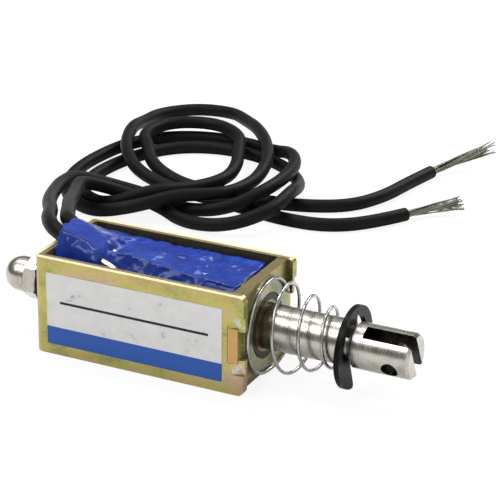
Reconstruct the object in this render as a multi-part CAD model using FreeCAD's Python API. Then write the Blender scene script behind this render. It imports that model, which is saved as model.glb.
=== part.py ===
import FreeCAD
import Part
import math
import os

Vector = FreeCAD.Vector

# Small open-frame push pull solenoid. Millimetres, +X towards the clevis, -Y towards the label, +Z up,
# x = 0 halfway between the mounting holes.
# Bracket: one bent strip, the base wall at the rear and two side walls.
frame_length = 30.65
frame_end = 15.0
sheet_thickness = 1.2
bend_inner_radius = 0.15
wall_corner_radius = 0.8

# End plate with two tabs, each held by a pair of staked dents beside the wall's open notch
plate_thickness = 1.4
plate_setback = 0.8
plate_top_drop = 0.1
tab_height = 4.8
notch_clearance = 0.06
stake_length = 1.7
stake_height = 1.5
stake_depth = 0.55
stake_lip_height = 0.5

# Two tapped holes for the mounting screws, in a line on the back wall
mount_hole_radius = 1.25
mount_hole_spacing = 15.0

# Plunger with its clip groove and its clevis
plunger_radius = 3.0
plunger_tip_reach = 20.93
plunger_end_chamfer = 0.35
clevis_slot_width = 1.9
clevis_slot_depth = 6.45
clevis_roll_degrees = 28.0
pin_hole_radius = 1.1
pin_hole_from_tip = 2.55
stroke = 10.0
stop_clearance = 0.15

# Push rod, its cap nut and the rubber bumper between the nut and the bracket
rod_radius = 1.5
rod_socket_depth = 5.0
rod_running_gap = 0.25
rod_chamfer = 0.2
thread_gap = 0.02
nut_across_flats = 5.5
nut_hex_height = 2.15
nut_total_height = 6.03
nut_dome_radius = 2.4
nut_roll_degrees = 20.5
nut_chamfer_angle = 30.0
nut_chamfer_overshoot = 0.3
nut_wall = 1.3
bumper_length = 2.5
bumper_radius = 3.3
bumper_edge_radius = 0.3
bumper_gap = 0.1

# Guide tube and bobbin
plunger_running_gap = 0.06
tube_wall = 0.35
assembly_gap = 0.02
bobbin_wall = 0.8
flange_thickness = 1.0
flange_to_wall_gap = 0.6
flange_below_frame_edge = 0.75
lead_slot_width = 6.4

# Fixed core riveted in the base wall
core_length = 8.85
core_gap = 0.03
spigot_radius = 2.6
rivet_head_radius = 3.1
rivet_head_height = 0.25

# Winding, its film and the blue tape over both
winding_build = 1.45
winding_to_flange_rim = 0.3
film_thickness = 0.2
tape_side_gap = 0.12
tape_gap = 0.1
tape_back_drop = 1.2
tape_wall_corner = 0.9
tape_front_degrees = 150.0
tape_bottom_degrees = 255.0
tape_slope_bulge = 0.4
tape_ridge_y = -3.0
# Ridge of the tape along the coil: (share of the coil's length, height above the bracket's top)
tape_ridge = [(0.0, 1.25), (0.2, 0.55), (0.45, 0.55), (0.75, -0.15), (1.0, -0.6)]
sleeve_wall = 0.28
sleeve_length = 5.7

# Washer on the end plate, where the return spring sits
washer_thickness = 0.4
washer_to_wall_gap = 0.1
washer_collar_gap = 0.15

# Conical return spring
spring_wire = 0.45
spring_turns = 4.3
spring_roll_degrees = -90.0
spring_edge_gap = 0.05
spring_plunger_gap = 0.15
spring_seat_gap = 0.02

# E-shaped retaining clip in the plunger's groove
clip_thickness = 0.7
clip_outer_radius = 5.45
clip_outline_offset = 0.6
clip_roll_degrees = 20.0
clip_tip_radius = 0.4
clip_opening_width = 4.2
clip_recess_depth = 1.19
clip_lug_degrees = 56.0
clip_end_lug_degrees = 34.0
clip_recess_overlap = 0.5
clip_from_tip = 8.28
clip_groove_gap = 0.06
groove_depth = 0.5
groove_slack = 0.45

# Label on the front wall
label_thickness = 0.06
label_rear_margin = 2.05
label_front_margin = 3.0
label_bottom_margin = 1.5
label_top_margin = 1.95
label_corner_radius = 0.25

# The two leads: insulated wire, its stranded core and the solder joint under the tape
lead_diameter = 2.1
conductor_radius = 0.5
strand_length = 8.2
joint_radius = 0.47
joint_length = 3.2
lead_slot_clearance = 0.04

# Points of the leads' routes, from the inner end under the tape to the stripped end,
# with x from the base wall's outer face
lead_a_route = [
    (7.15, -3.6, 13), (0.4, -2.62, 15.07), (-4.17, 2.88, 14.23), (-7.34, 8.95, 12.62),
    (-11.25, 14.6, 11.18), (-14.62, 20.55, 9.6), (-17.66, 26.68, 8.04), (-20.44, 32.98, 6.65),
    (-22.18, 39.89, 5.28), (-18.59, 45.58, 2.42), (-11.56, 46.95, 1.05), (-4.97, 43.84, 1.16),
    (1.88, 44.65, 2.28), (5.63, 50.48, 4.13), (5.63, 57.68, 3.88), (4.37, 64.62, 3.72),
    (0.75, 70.64, 3.22), (-4.53, 74.99, 1.19), (-11.31, 77.01, 1.05), (-18.39, 76.5, 1.05),
    (-24.6, 73.04, 1.05), (-28.37, 67.04, 1.05), (-29.44, 60.06, 1.05), (-29.44, 53.03, 1.05),
    (-27.71, 46.18, 1.05), (-23.69, 40.3, 1.05), (-17.32, 36.97, 1.05), (-10.39, 37.62, 2.9),
    (-5.92, 43.17, 3.85), (0.27, 46.62, 3.76), (1.76, 53.45, 3.54), (0.52, 60.59, 3.42),
    (-1.85, 67.2, 3.42), (-5.34, 73.3, 3.66), (-9.55, 78.9, 3.33), (-14.19, 84.07, 2.4),
    (-19.2, 89.14, 1.55), (-26.5, 89.49, 1.05), (-31.27, 83.99, 1.05), (-30.49, 76.83, 1.78),
    (-28.79, 70.18, 3.28), (-26.31, 63.63, 3.59), (-22.95, 57.44, 3.51), (-17.99, 52.53, 2.44),
    (-11.12, 51.46, 1.05), (-4.13, 50.74, 1.05), (2.69, 49.09, 1.15), (9.59, 47.84, 1.05),
    (16.7, 48.15, 1.05), (22.33, 52.47, 1.05), (25.85, 58.58, 1.05),
]
lead_b_route = [
    (7.15, -1.2, 13.6), (0.45, 0.59, 15.22), (-3.32, 6.58, 13.81), (-6.63, 12.53, 12.07),
    (-10.18, 18.34, 10.35), (-13.14, 24.46, 8.57), (-16.32, 30.47, 7.14), (-19.42, 36.97, 5.84),
    (-16.19, 42.95, 2.85), (-9.01, 43.68, 1.15), (-3.06, 39.5, 1.05), (4.25, 39.68, 1.63),
    (9.61, 44.16, 3.5), (9.57, 51.49, 4.29), (7.78, 58.06, 2.45), (4.96, 64.34, 1.05),
    (0.05, 69.51, 1.05), (-6.53, 72.17, 1.05), (-13.64, 72.63, 1.05), (-20.11, 69.61, 1.05),
    (-23.73, 63.47, 1.05), (-25.34, 56.59, 1.05), (-25.43, 49.51, 1.05), (-22.92, 42.66, 1.16),
    (-16.29, 39.24, 1.46), (-9.95, 41.69, 4.32), (-5.54, 47.3, 3.5), (-2.64, 53.67, 3.51),
    (-4.26, 60.66, 3.43), (-7.26, 67.02, 3.39), (-10.07, 73.61, 3.51), (-16.57, 77.47, 3.49),
    (-23.57, 74.66, 3.51), (-25.4, 67.3, 3.49), (-20.89, 61.24, 3.48), (-16.94, 55.31, 2.8),
    (-10.19, 53.7, 1.05), (-3.12, 54.17, 1.05), (3.87, 53.03, 1.14), (10.85, 53.96, 1.25),
    (16.9, 57.84, 1.05), (19.9, 64.38, 1.05), (20.94, 71.34, 1.05), (22.35, 78.22, 1.05),
]

# Levels worked out from the sizes above
tube_bore = plunger_radius + plunger_running_gap
tube_outer = tube_bore + tube_wall
bobbin_bore = tube_outer + assembly_gap
bobbin_outer = bobbin_bore + bobbin_wall
winding_inner = bobbin_outer + assembly_gap
winding_outer = winding_inner + winding_build
flange_radius = winding_outer + winding_to_flange_rim
wall_inner = flange_radius + flange_to_wall_gap
frame_width = 2 * (wall_inner + sheet_thickness)
frame_height = 2 * (flange_radius + flange_below_frame_edge)
axis_height = frame_height / 2
wall_end = frame_end
base_outer = wall_end - frame_length
base_inner = base_outer + sheet_thickness
plate_outer = wall_end - plate_setback
plate_inner = plate_outer - plate_thickness
washer_outer = plate_outer + washer_thickness
plunger_tip = plate_outer + plunger_tip_reach
core_face = base_inner + core_length
plunger_inner_end = core_face + stroke + stop_clearance
clip_rear = plunger_tip - clip_from_tip - clip_thickness
clip_front = plunger_tip - clip_from_tip
bumper_front = base_outer - rivet_head_height - bumper_gap
nut_inner = bumper_front - bumper_length
nut_tip = nut_inner - nut_total_height
rear_flange_inner = base_inner + flange_thickness
front_flange_inner = plate_inner - flange_thickness
film_outer = winding_outer + assembly_gap + film_thickness
tape_inner = film_outer + assembly_gap
tape_outer = wall_inner - tape_side_gap
washer_radius = wall_inner - washer_to_wall_gap
washer_bore = bobbin_outer + washer_collar_gap
lead_radius = lead_diameter / 2
groove_radius = plunger_radius - groove_depth
lug_radius = groove_radius + clip_groove_gap

lead_a_points = [(base_outer + x, y, z) for x, y, z in lead_a_route]
lead_b_points = [(base_outer + x, y, z) for x, y, z in lead_b_route]

# The origin is the middle of the object's length, on the surface that it stands on
origin_x = (plunger_tip + nut_tip) / 2


def box(x_span, y_span, z_span):
    corner = Vector(x_span[0], y_span[0], z_span[0])
    return Part.makeBox(x_span[1] - x_span[0], y_span[1] - y_span[0], z_span[1] - z_span[0], corner)


def rod_x(radius, start, end):
    """A cylinder on the plunger's axis."""
    return Part.makeCylinder(radius, end - start, Vector(start, 0, axis_height), Vector(1, 0, 0))


def ring_x(outer, inner, start, end):
    return rod_x(outer, start, end).cut(rod_x(inner, start - 1, end + 1))


def turned(profile):
    """A solid of revolution about the plunger's axis from a list of (x, radius) points."""
    points = [Vector(x, 0, axis_height + radius) for x, radius in profile]
    face = Part.Face(Part.makePolygon(points + points[:1]))
    return face.revolve(Vector(0, 0, axis_height), Vector(1, 0, 0), 360)


def edges_along(shape, direction):
    """The straight edges that run along one axis."""
    found = []
    for edge in shape.Edges:
        if isinstance(edge.Curve, Part.Line) and abs(abs(edge.tangentAt(0).dot(direction)) - 1) < 1e-6:
            found.append(edge)
    return found


def around_axis(radius, degrees, x):
    """A point about the plunger's axis; zero degrees points at +Y and ninety degrees up."""
    angle = math.radians(degrees)
    return Vector(x, radius * math.cos(angle), axis_height + radius * math.sin(angle))


def bracket():
    up = Vector(0, 0, 1)
    outer = box((base_outer, wall_end), (-frame_width / 2, frame_width / 2), (0, frame_height))
    rear_edges = [e for e in edges_along(outer, up) if e.CenterOfMass.x < 0]
    outer = outer.makeFillet(bend_inner_radius + sheet_thickness, rear_edges)
    inner = box((base_inner, wall_end + 1), (-wall_inner, wall_inner), (-1, frame_height + 1))
    rear_edges = [e for e in edges_along(inner, up) if e.CenterOfMass.x < 0]
    inner = inner.makeFillet(bend_inner_radius, rear_edges)
    shape = outer.cut(inner)
    end_edges = [e for e in edges_along(shape, Vector(0, 1, 0)) if e.CenterOfMass.x > wall_end - 0.01]
    shape = shape.makeFillet(wall_corner_radius, end_edges)
    notch_half = tab_height / 2 + notch_clearance
    notch = box(
        (plate_inner - notch_clearance, wall_end + 1),
        (-frame_width, frame_width),
        (axis_height - notch_half, axis_height + notch_half),
    )
    shape = shape.cut(notch)
    for side in (-1, 1):
        for end in (-1, 1):
            shape = staked(shape, side, axis_height + end * notch_half, end)
    shape = shape.cut(rod_x(spigot_radius + core_gap, base_outer - 1, base_inner + 1))
    for x in (-mount_hole_spacing / 2, mount_hole_spacing / 2):
        start = Vector(x, wall_inner - 1, axis_height)
        shape = shape.cut(Part.makeCylinder(mount_hole_radius, sheet_thickness + 2, start, Vector(0, 1, 0)))
    return shape


def staked(shape, side, notch_edge, end):
    """Adds the metal pushed over the plate's tab at one corner of a notch, then the dent that pushed it."""
    face = side * frame_width / 2
    inner_face = side * wall_inner
    lip_heights = sorted((notch_edge, notch_edge - end * stake_lip_height))
    lip = box((plate_outer, wall_end), sorted((face, inner_face)), lip_heights)
    shape = shape.fuse(lip)
    corners = [
        Vector(wall_end - stake_length, face, 0),
        Vector(wall_end + 1, face - side * stake_depth * (1 + 1 / stake_length), 0),
        Vector(wall_end + 1, face + side, 0),
        Vector(wall_end - stake_length, face + side, 0),
    ]
    lowest = min(notch_edge - end * stake_lip_height, notch_edge + end * stake_height)
    prism = Part.Face(Part.makePolygon(corners + corners[:1])).extrude(
        Vector(0, 0, stake_lip_height + stake_height)
    )
    prism.translate(Vector(0, 0, lowest))
    return shape.cut(prism).removeSplitter()


def end_plate():
    half = wall_inner - assembly_gap
    plate = box((plate_inner, plate_outer), (-half, half), (plate_top_drop, frame_height - plate_top_drop))
    tabs = box(
        (plate_inner, plate_outer),
        (-frame_width / 2, frame_width / 2),
        (axis_height - tab_height / 2, axis_height + tab_height / 2),
    )
    hole = rod_x(bobbin_outer + assembly_gap, plate_inner - 1, plate_outer + 1)
    return plate.fuse(tabs).removeSplitter().cut(hole)


def spring_seat_washer():
    return ring_x(washer_radius, washer_bore, plate_outer, washer_outer)


def bobbin():
    body = ring_x(bobbin_outer, bobbin_bore, base_inner, washer_outer)
    rear = ring_x(flange_radius, bobbin_bore, base_inner, rear_flange_inner)
    front = ring_x(flange_radius, bobbin_bore, front_flange_inner, plate_inner)
    shape = body.fuse([rear, front]).removeSplitter()
    slot_middle = (lead_a_points[0][1] + lead_b_points[0][1]) / 2
    slot = box(
        (base_inner - 1, rear_flange_inner + assembly_gap),
        (slot_middle - lead_slot_width / 2, slot_middle + lead_slot_width / 2),
        (axis_height + winding_inner, frame_height + 1),
    )
    return shape.cut(slot)


def guide_tube():
    return ring_x(tube_outer, tube_bore, base_inner, washer_outer)


def fixed_core():
    """The stop that the plunger meets when it is pulled in, riveted over outside the base wall."""
    radius = tube_bore - core_gap
    bore = rod_radius + rod_running_gap
    chamfer = plunger_end_chamfer
    return turned([
        (base_outer - rivet_head_height, bore),
        (base_outer - rivet_head_height, spigot_radius),
        (base_outer, rivet_head_radius),
        (base_outer, spigot_radius),
        (base_inner, spigot_radius),
        (base_inner, radius),
        (core_face - chamfer, radius),
        (core_face, radius - chamfer),
        (core_face, bore),
    ])


def coil_winding():
    return ring_x(
        winding_outer, winding_inner, rear_flange_inner + assembly_gap, front_flange_inner - assembly_gap
    )


def coil_insulation():
    return ring_x(
        film_outer,
        winding_outer + assembly_gap,
        rear_flange_inner + assembly_gap,
        front_flange_inner - assembly_gap,
    )


def tape_section(x, ridge_height):
    """A cross-section of the wrapped coil: round below, a flat back corner and a raised ridge above."""
    front = around_axis(tape_outer, tape_front_degrees, x)
    bottom = around_axis(tape_outer, tape_bottom_degrees, x)
    back = Vector(x, tape_outer, axis_height)
    shoulder_height = frame_height - tape_back_drop
    back_top = Vector(x, tape_outer, shoulder_height - tape_wall_corner)
    back_shoulder = Vector(x, tape_outer - tape_wall_corner, shoulder_height)
    ridge = Vector(x, tape_ridge_y, ridge_height)
    slope = (ridge - front).normalize()
    outward = slope.cross(Vector(1, 0, 0))
    slope_middle = (ridge + front) * 0.5 + outward * tape_slope_bulge
    return Part.Wire([
        Part.Arc(front, bottom, back).toShape(),
        Part.makeLine(back, back_top),
        Part.makeLine(back_top, back_shoulder),
        Part.makeLine(back_shoulder, ridge),
        Part.Arc(ridge, slope_middle, front).toShape(),
    ])


def tape_envelope():
    start = rear_flange_inner + tape_gap
    end = front_flange_inner - tape_gap
    sections = []
    for share, rise in tape_ridge:
        sections.append(tape_section(start + share * (end - start), frame_height + rise))
    return Part.makeLoft(sections, True, True)


def lead_channel(route):
    """The space that a lead takes where it leaves the tape, with a little clearance."""
    return cord(route[:4], lead_radius + lead_slot_clearance).fuse(solder_joint(route, lead_slot_clearance))


def coil_tape():
    shape = tape_envelope().cut(rod_x(tape_inner, base_inner, plate_inner))
    for route in (lead_a_points, lead_b_points):
        shape = shape.cut(lead_channel(route))
    return largest(shape)


def largest(shape):
    return max(shape.Solids, key=lambda solid: solid.Volume)


def sleeve_section(x):
    """A stadium round both leads where they pass one plane."""
    radius = lead_radius + sleeve_wall
    centres = []
    for route in (lead_a_points, lead_b_points):
        first, second = Vector(*route[0]), Vector(*route[1])
        centres.append(first + (second - first) * ((x - first.x) / (second.x - first.x)))
    across = (centres[1] - centres[0]).normalize()
    upward = Vector(1, 0, 0).cross(across)
    corners = [
        centres[0] + upward * radius,
        centres[1] + upward * radius,
        centres[1] - upward * radius,
        centres[0] - upward * radius,
    ]
    return Part.Wire([
        Part.makeLine(corners[0], corners[1]),
        Part.Arc(corners[1], centres[1] + across * radius, corners[2]).toShape(),
        Part.makeLine(corners[2], corners[3]),
        Part.Arc(corners[3], centres[0] - across * radius, corners[0]).toShape(),
    ])


def lead_wrap_tape():
    """The fold of tape that holds the two leads down where they leave the coil."""
    start = base_inner + tape_gap
    shape = Part.makeLoft([sleeve_section(start), sleeve_section(start + sleeve_length)], True, True)
    shape = shape.cut(tape_envelope()).cut(rod_x(tape_inner, base_inner, plate_inner))
    for route in (lead_a_points, lead_b_points):
        shape = shape.cut(lead_channel(route))
    return largest(shape)


def solder_joint(route, extra_radius=0.0):
    """Where a lead's stripped core is soldered to one end of the winding, beyond the lead's inner end."""
    first, second = Vector(*route[0]), Vector(*route[1])
    along = (first - second).normalize()
    radius = joint_radius + extra_radius
    end = Part.makeSphere(radius, first + along * joint_length)
    return Part.makeCylinder(radius, joint_length, first, along).fuse(end)


def label():
    face = -frame_width / 2
    shape = box(
        (base_outer + label_rear_margin, wall_end - label_front_margin),
        (face - label_thickness, face),
        (label_bottom_margin, frame_height - label_top_margin),
    )
    return shape.makeFillet(label_corner_radius, edges_along(shape, Vector(0, 1, 0)))


def plunger():
    """A turned rod with its clip groove, its clevis slot and the pin hole across both ears."""
    groove_rear = clip_rear - clip_groove_gap
    groove_front = clip_front + clip_groove_gap + groove_slack
    chamfer = plunger_end_chamfer
    shape = turned([
        (plunger_inner_end, 0),
        (plunger_inner_end, plunger_radius - chamfer),
        (plunger_inner_end + chamfer, plunger_radius),
        (groove_rear, plunger_radius),
        (groove_rear, groove_radius),
        (groove_front, groove_radius),
        (groove_front, plunger_radius),
        (plunger_tip - chamfer, plunger_radius),
        (plunger_tip, plunger_radius - chamfer),
        (plunger_tip, 0),
    ])
    slot = box(
        (plunger_tip - clevis_slot_depth, plunger_tip + 1),
        (-clevis_slot_width / 2, clevis_slot_width / 2),
        (axis_height - plunger_radius - 1, axis_height + plunger_radius + 1),
    )
    hole_start = Vector(plunger_tip - pin_hole_from_tip, -plunger_radius - 1, axis_height)
    hole = Part.makeCylinder(pin_hole_radius, 2 * plunger_radius + 2, hole_start, Vector(0, 1, 0))
    cuts = slot.fuse(hole)
    cuts.rotate(Vector(0, 0, axis_height), Vector(1, 0, 0), clevis_roll_degrees)
    socket = rod_x(rod_radius + thread_gap, plunger_inner_end - 1, plunger_inner_end + rod_socket_depth)
    return shape.cut(cuts).cut(socket)


def push_rod():
    start = nut_tip + nut_wall + thread_gap
    return turned([
        (start, 0),
        (start, rod_radius - rod_chamfer),
        (start + rod_chamfer, rod_radius),
        (plunger_inner_end + rod_socket_depth - thread_gap, rod_radius),
        (plunger_inner_end + rod_socket_depth - thread_gap, 0),
    ])


def cap_nut():
    """A hexagon with both ends chamfered, and a dome over its blind thread."""
    hex_outer = nut_inner - nut_hex_height
    corner_radius = nut_across_flats / math.sqrt(3)
    corners = [around_axis(corner_radius, nut_roll_degrees + 60 * i, hex_outer) for i in range(6)]
    hexagon = Part.Face(Part.makePolygon(corners + corners[:1])).extrude(Vector(nut_hex_height, 0, 0))
    flat_radius = nut_across_flats / 2
    corner_excess = corner_radius - flat_radius
    chamfer = corner_excess * math.tan(math.radians(nut_chamfer_angle)) * (1 + nut_chamfer_overshoot)
    rim = corner_radius + corner_excess * nut_chamfer_overshoot
    hexagon = hexagon.common(turned([
        (hex_outer, 0),
        (hex_outer, flat_radius),
        (hex_outer + chamfer, rim),
        (nut_inner - chamfer, rim),
        (nut_inner, flat_radius),
        (nut_inner, 0),
    ]))
    dome_centre = nut_tip + nut_dome_radius
    dome = Part.makeSphere(nut_dome_radius, Vector(dome_centre, 0, axis_height))
    neck = rod_x(nut_dome_radius, dome_centre, hex_outer)
    bore = rod_x(rod_radius + thread_gap, nut_tip + nut_wall, nut_inner + 1)
    return hexagon.fuse([dome, neck]).removeSplitter().cut(bore)


def bumper_washer():
    shape = ring_x(bumper_radius, rod_radius + thread_gap, nut_inner, bumper_front)
    rims = [e for e in shape.Edges if abs(e.Length - 2 * math.pi * bumper_radius) < 0.01]
    return shape.makeFillet(bumper_edge_radius, rims)


def return_spring():
    """A conical helix, its small end at the clip and its large end on the washer's rim."""
    wire = spring_wire / 2
    small = plunger_radius + spring_plunger_gap + wire
    large = washer_radius - spring_edge_gap - wire
    start = clip_rear - spring_seat_gap - wire
    height = start - washer_outer - wire - assembly_gap
    cone_angle = math.degrees(math.atan((large - small) / height))
    left_handed = True
    helix = Part.makeHelix(height / spring_turns, height, small, cone_angle, left_handed)
    edge = helix.Edges[0]
    first = edge.valueAt(edge.FirstParameter)
    section = Part.Wire([Part.Edge(Part.Circle(first, edge.tangentAt(edge.FirstParameter), wire))])
    shape = Part.Wire(helix.Edges).makePipeShell([section], True, True)
    shape.rotate(Vector(0, 0, 0), Vector(0, 1, 0), -90)
    shape.rotate(Vector(0, 0, 0), Vector(1, 0, 0), spring_roll_degrees)
    shape.translate(Vector(start, 0, axis_height))
    return shape


def retaining_clip():
    """An E clip: a round outline, an opening, two recesses and three lugs that hold the groove."""
    height = Vector(0, 0, clip_thickness)
    shape = Part.makeCylinder(clip_outer_radius, clip_thickness, Vector(clip_outline_offset, 0, 0))
    shape = shape.cut(Part.makeCylinder(lug_radius, clip_thickness, Vector(0, 0, 0)))
    opening = Part.makeBox(
        2 * clip_outer_radius, clip_opening_width, clip_thickness, Vector(0, -clip_opening_width / 2, 0)
    )
    shape = shape.cut(opening)
    recess_inner = lug_radius - clip_recess_overlap
    recess_outer = lug_radius + clip_recess_depth
    for side in (-1, 1):
        first = side * (clip_end_lug_degrees + clip_lug_degrees)
        last = side * (180 - clip_lug_degrees / 2)
        shape = shape.cut(ring_sector(recess_inner, recess_outer, first, last, height))
    ends = [e for e in edges_along(shape, Vector(0, 0, 1)) if e.CenterOfMass.x > clip_outer_radius / 2]
    tips = [e for e in ends if math.hypot(e.CenterOfMass.x, e.CenterOfMass.y) > recess_outer]
    shape = shape.makeFillet(clip_tip_radius, tips)
    shape.rotate(Vector(0, 0, 0), Vector(0, 1, 0), 90)
    shape.rotate(Vector(0, 0, 0), Vector(1, 0, 0), clip_roll_degrees)
    shape.translate(Vector(clip_rear, 0, axis_height))
    return shape


def ring_sector(inner, outer, first, last, height):
    """A sector of a flat ring between two angles in degrees."""
    middle = (first + last) / 2
    inner_points = [flat_point(inner, a) for a in (first, middle, last)]
    outer_points = [flat_point(outer, a) for a in (last, middle, first)]
    outline = Part.Wire([
        Part.Arc(*inner_points).toShape(),
        Part.makeLine(inner_points[2], outer_points[0]),
        Part.Arc(*outer_points).toShape(),
        Part.makeLine(outer_points[2], inner_points[0]),
    ])
    return Part.Face(outline).extrude(height)


def flat_point(radius, degrees):
    return Vector(radius * math.cos(math.radians(degrees)), radius * math.sin(math.radians(degrees)), 0)


def cord(route, radius):
    """A cord: straight runs joined by tangent arcs, swept as one round section."""
    points = [Vector(*point) for point in route]
    edges = []
    start = points[0]
    for before, corner, after in zip(points, points[1:], points[2:]):
        run = 0.45 * min((corner - before).Length, (after - corner).Length)
        back = (before - corner).normalize()
        ahead = (after - corner).normalize()
        half_turn = (math.pi - back.getAngle(ahead)) / 2
        first = corner + back * run
        last = corner + ahead * run
        bend_radius = run / math.tan(half_turn)
        middle = corner + (back + ahead).normalize() * (math.hypot(run, bend_radius) - bend_radius)
        edges.append(Part.LineSegment(start, first).toShape())
        edges.append(Part.Arc(first, middle, last).toShape())
        start = last
    edges.append(Part.LineSegment(start, points[-1]).toShape())
    path = Part.Wire(edges)
    section = Part.Wire([Part.Edge(Part.Circle(points[0], points[1] - points[0], radius))])
    shape = path.makePipeShell([section], True, False)
    print("cord: radius %.2f, length %.1f, volume ratio %.4f" % (
        radius, path.Length, shape.Volume / (math.pi * radius * radius * path.Length)))
    return shape


def lead_strands(route):
    """The stripped end of a lead: its core, straight on past the insulation."""
    end, before = Vector(*route[-1]), Vector(*route[-2])
    return Part.makeCylinder(conductor_radius, strand_length, end, end - before)


def export(name, shape):
    if not shape.isValid() or len(shape.Solids) != 1:
        print("check", name, shape.isValid(), len(shape.Solids))
    shape = shape.copy()
    shape.translate(Vector(-origin_x, 0, 0))
    shape.exportStep("parts/" + name + ".step")


os.makedirs("parts", exist_ok=True)
export("frame_bracket", bracket())
export("end_plate", end_plate())
export("spring_seat_washer", spring_seat_washer())
export("bobbin", bobbin())
export("guide_tube", guide_tube())
export("fixed_core", fixed_core())
export("coil_winding", coil_winding())
export("coil_insulation", coil_insulation())
export("coil_tape", coil_tape())
export("lead_wrap_tape", lead_wrap_tape())
export("label", label())
export("solder_joint_a", solder_joint(lead_a_points))
export("solder_joint_b", solder_joint(lead_b_points))
export("lead_a", cord(lead_a_points, lead_radius))
export("lead_b", cord(lead_b_points, lead_radius))
export("lead_a_strands", lead_strands(lead_a_points))
export("lead_b_strands", lead_strands(lead_b_points))
export("plunger", plunger())
export("push_rod", push_rod())
export("cap_nut", cap_nut())
export("bumper_washer", bumper_washer())
export("return_spring", return_spring())
export("retaining_clip", retaining_clip())
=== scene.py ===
import bpy
import math
import random
from mathutils import Matrix, Vector


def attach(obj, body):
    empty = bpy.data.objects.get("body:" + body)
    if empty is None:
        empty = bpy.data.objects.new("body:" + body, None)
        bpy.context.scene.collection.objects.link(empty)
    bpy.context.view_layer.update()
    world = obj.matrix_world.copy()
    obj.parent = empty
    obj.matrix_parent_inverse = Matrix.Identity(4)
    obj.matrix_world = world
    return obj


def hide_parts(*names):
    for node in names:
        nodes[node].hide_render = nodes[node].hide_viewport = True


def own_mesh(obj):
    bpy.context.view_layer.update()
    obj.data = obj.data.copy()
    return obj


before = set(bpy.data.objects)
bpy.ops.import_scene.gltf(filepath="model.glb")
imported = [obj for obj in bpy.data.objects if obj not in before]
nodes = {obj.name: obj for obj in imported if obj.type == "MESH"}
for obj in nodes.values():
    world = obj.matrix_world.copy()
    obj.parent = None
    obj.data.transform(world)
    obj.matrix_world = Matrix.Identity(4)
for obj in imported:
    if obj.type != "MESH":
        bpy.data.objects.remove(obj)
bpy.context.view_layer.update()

# Camera: where it stands, the direction from the object to it in radians, and its lens in millimetres
camera_place = (0.109188, -0.211092, 0.112828)
camera_azimuth = 0.452060
camera_elevation = 0.388908
camera_roll = 0.012260
camera_lens = 144.0
camera_sensor = 36.0
camera_near = 0.01
camera_far = 20.0

# Levels that the pieces share, in metres in the object's frame
axis_height = 0.00675
base_outer = -0.02095
washer_face = 0.0093
clip_rear = 0.02085
wall_inner = 0.0066
frame_height = 0.0135

# Return spring: one wire with flat end coils and open turns, and how finely a turn is cut
spring_wire = 0.00045
spring_gap = 0.00003
spring_start = washer_face + spring_wire / 2 + spring_gap
spring_end = clip_rear - spring_wire / 2 - spring_gap
spring_cone_radius = 0.00665
spring_cone_slope = 0.321
spring_large = 0.00622
spring_small = 0.00336
spring_open_turns = 3.5
spring_end_turns = 0.68
spring_first_angle = -90
spring_pitch_power = 0.82
spring_steps = 48
spring_sides = 10

# Blue film: where it starts and ends along the coil, its flap at the top over the leads, its outline
# round the coil and leads in steps of degrees, its ridge as (x, z), and when lines count as meeting
tape_start = -0.01862
tape_end = 0.00637
tape_flap = 0.0010
tape_flap_middle = 95
tape_flap_half = 0.9
tape_flap_narrows = 1.6
tape_flap_fullness = 2.5
tape_outer = 0.00642
tape_inner = 0.00600
tape_back_level = 0.0128
tape_back_fall = 0.0006
tape_back_edge = 0.0061
tape_ridge_y = -0.0031
tape_ridge = [
    (-0.0192, 0.0148), (-0.0156, 0.0141), (-0.0133, 0.0136), (-0.0101, 0.0139), (-0.0073, 0.0140),
    (-0.0041, 0.0134), (-0.0013, 0.0131), (0.0027, 0.0128), (0.0067, 0.0125),
]
tape_round = range(150, 361, 10)
lead_round = range(0, 360, 20)
parallel = 1e-12
end_slack = 1e-9
film_over_leads = 0.00034
film_over_leads_ends = -0.0125
film_crumpled_from = -0.0015

# Creases of the film: its grid along and around the coil, how far the grid is shifted, how high the
# creases are and where, in degrees from +Y towards +Z, and how many edges stay sharp
film_stations = 28
film_around = 54
film_seed = 11
film_shift = 0.35
film_least = 0.0001
film_side_gap = 0.00006
film_crease_crumpled = 0.00034
film_crease_top = 0.00024
film_crease_over_leads = 0.00010
film_crease_tight = 0.00008
film_over_leads_angles = (70, 125)
film_loose_angles = (20, 165)
film_sinks = -1.0
film_rises = 0.7
film_ridge_rises = 0.6
film_sharp_share = 0.3
film_sharp = 0.8
film_soft = 0.1
film_smooth_levels = 2

# Places on the frame that look different: the plate's tabs, the staked corners, the painted highlight
# along the top edges' outer border, the plate's rear face, the painted shade inside the walls and the tan
# rims
tab_face = 0.00775
tab_low = 0.00436
tab_high = 0.00914
tab_rear = 0.0074
tab_front = 0.0091
stake_rear = 0.0081
stake_low = 0.0029
stake_high = 0.0106
stake_deep = 0.0071
stake_face = 0.00779
painted_highlight_from = 0.0072
painted_highlight_rear = 0.0005
plate_rear = 0.00727
tan_reach = 0.0016
wall_skin = 0.00004
top_skin = 0.00003
inside_shade_rear = 0.001

# Painted shade on the plunger and nut: in the slot and hole, where it enters the tube, and in the nut's
# crease
clevis_roll = 28
slot_floor = 0.02336
slot_half_width = 0.00097
hole_place = 0.02728
hole_radius = 0.00113
entry_shade_before_face = 0.001
entry_shade_end = 0.0111
nut_crease = -0.02597
nut_crease_shade_half = 0.00011

# Print on the label: a blue band along its foot, and one rule
band_top = 0.00402
rule_level = 0.0076
rule_width = 0.00036
rule_start = -0.01687
rule_end = 0.00479

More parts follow.
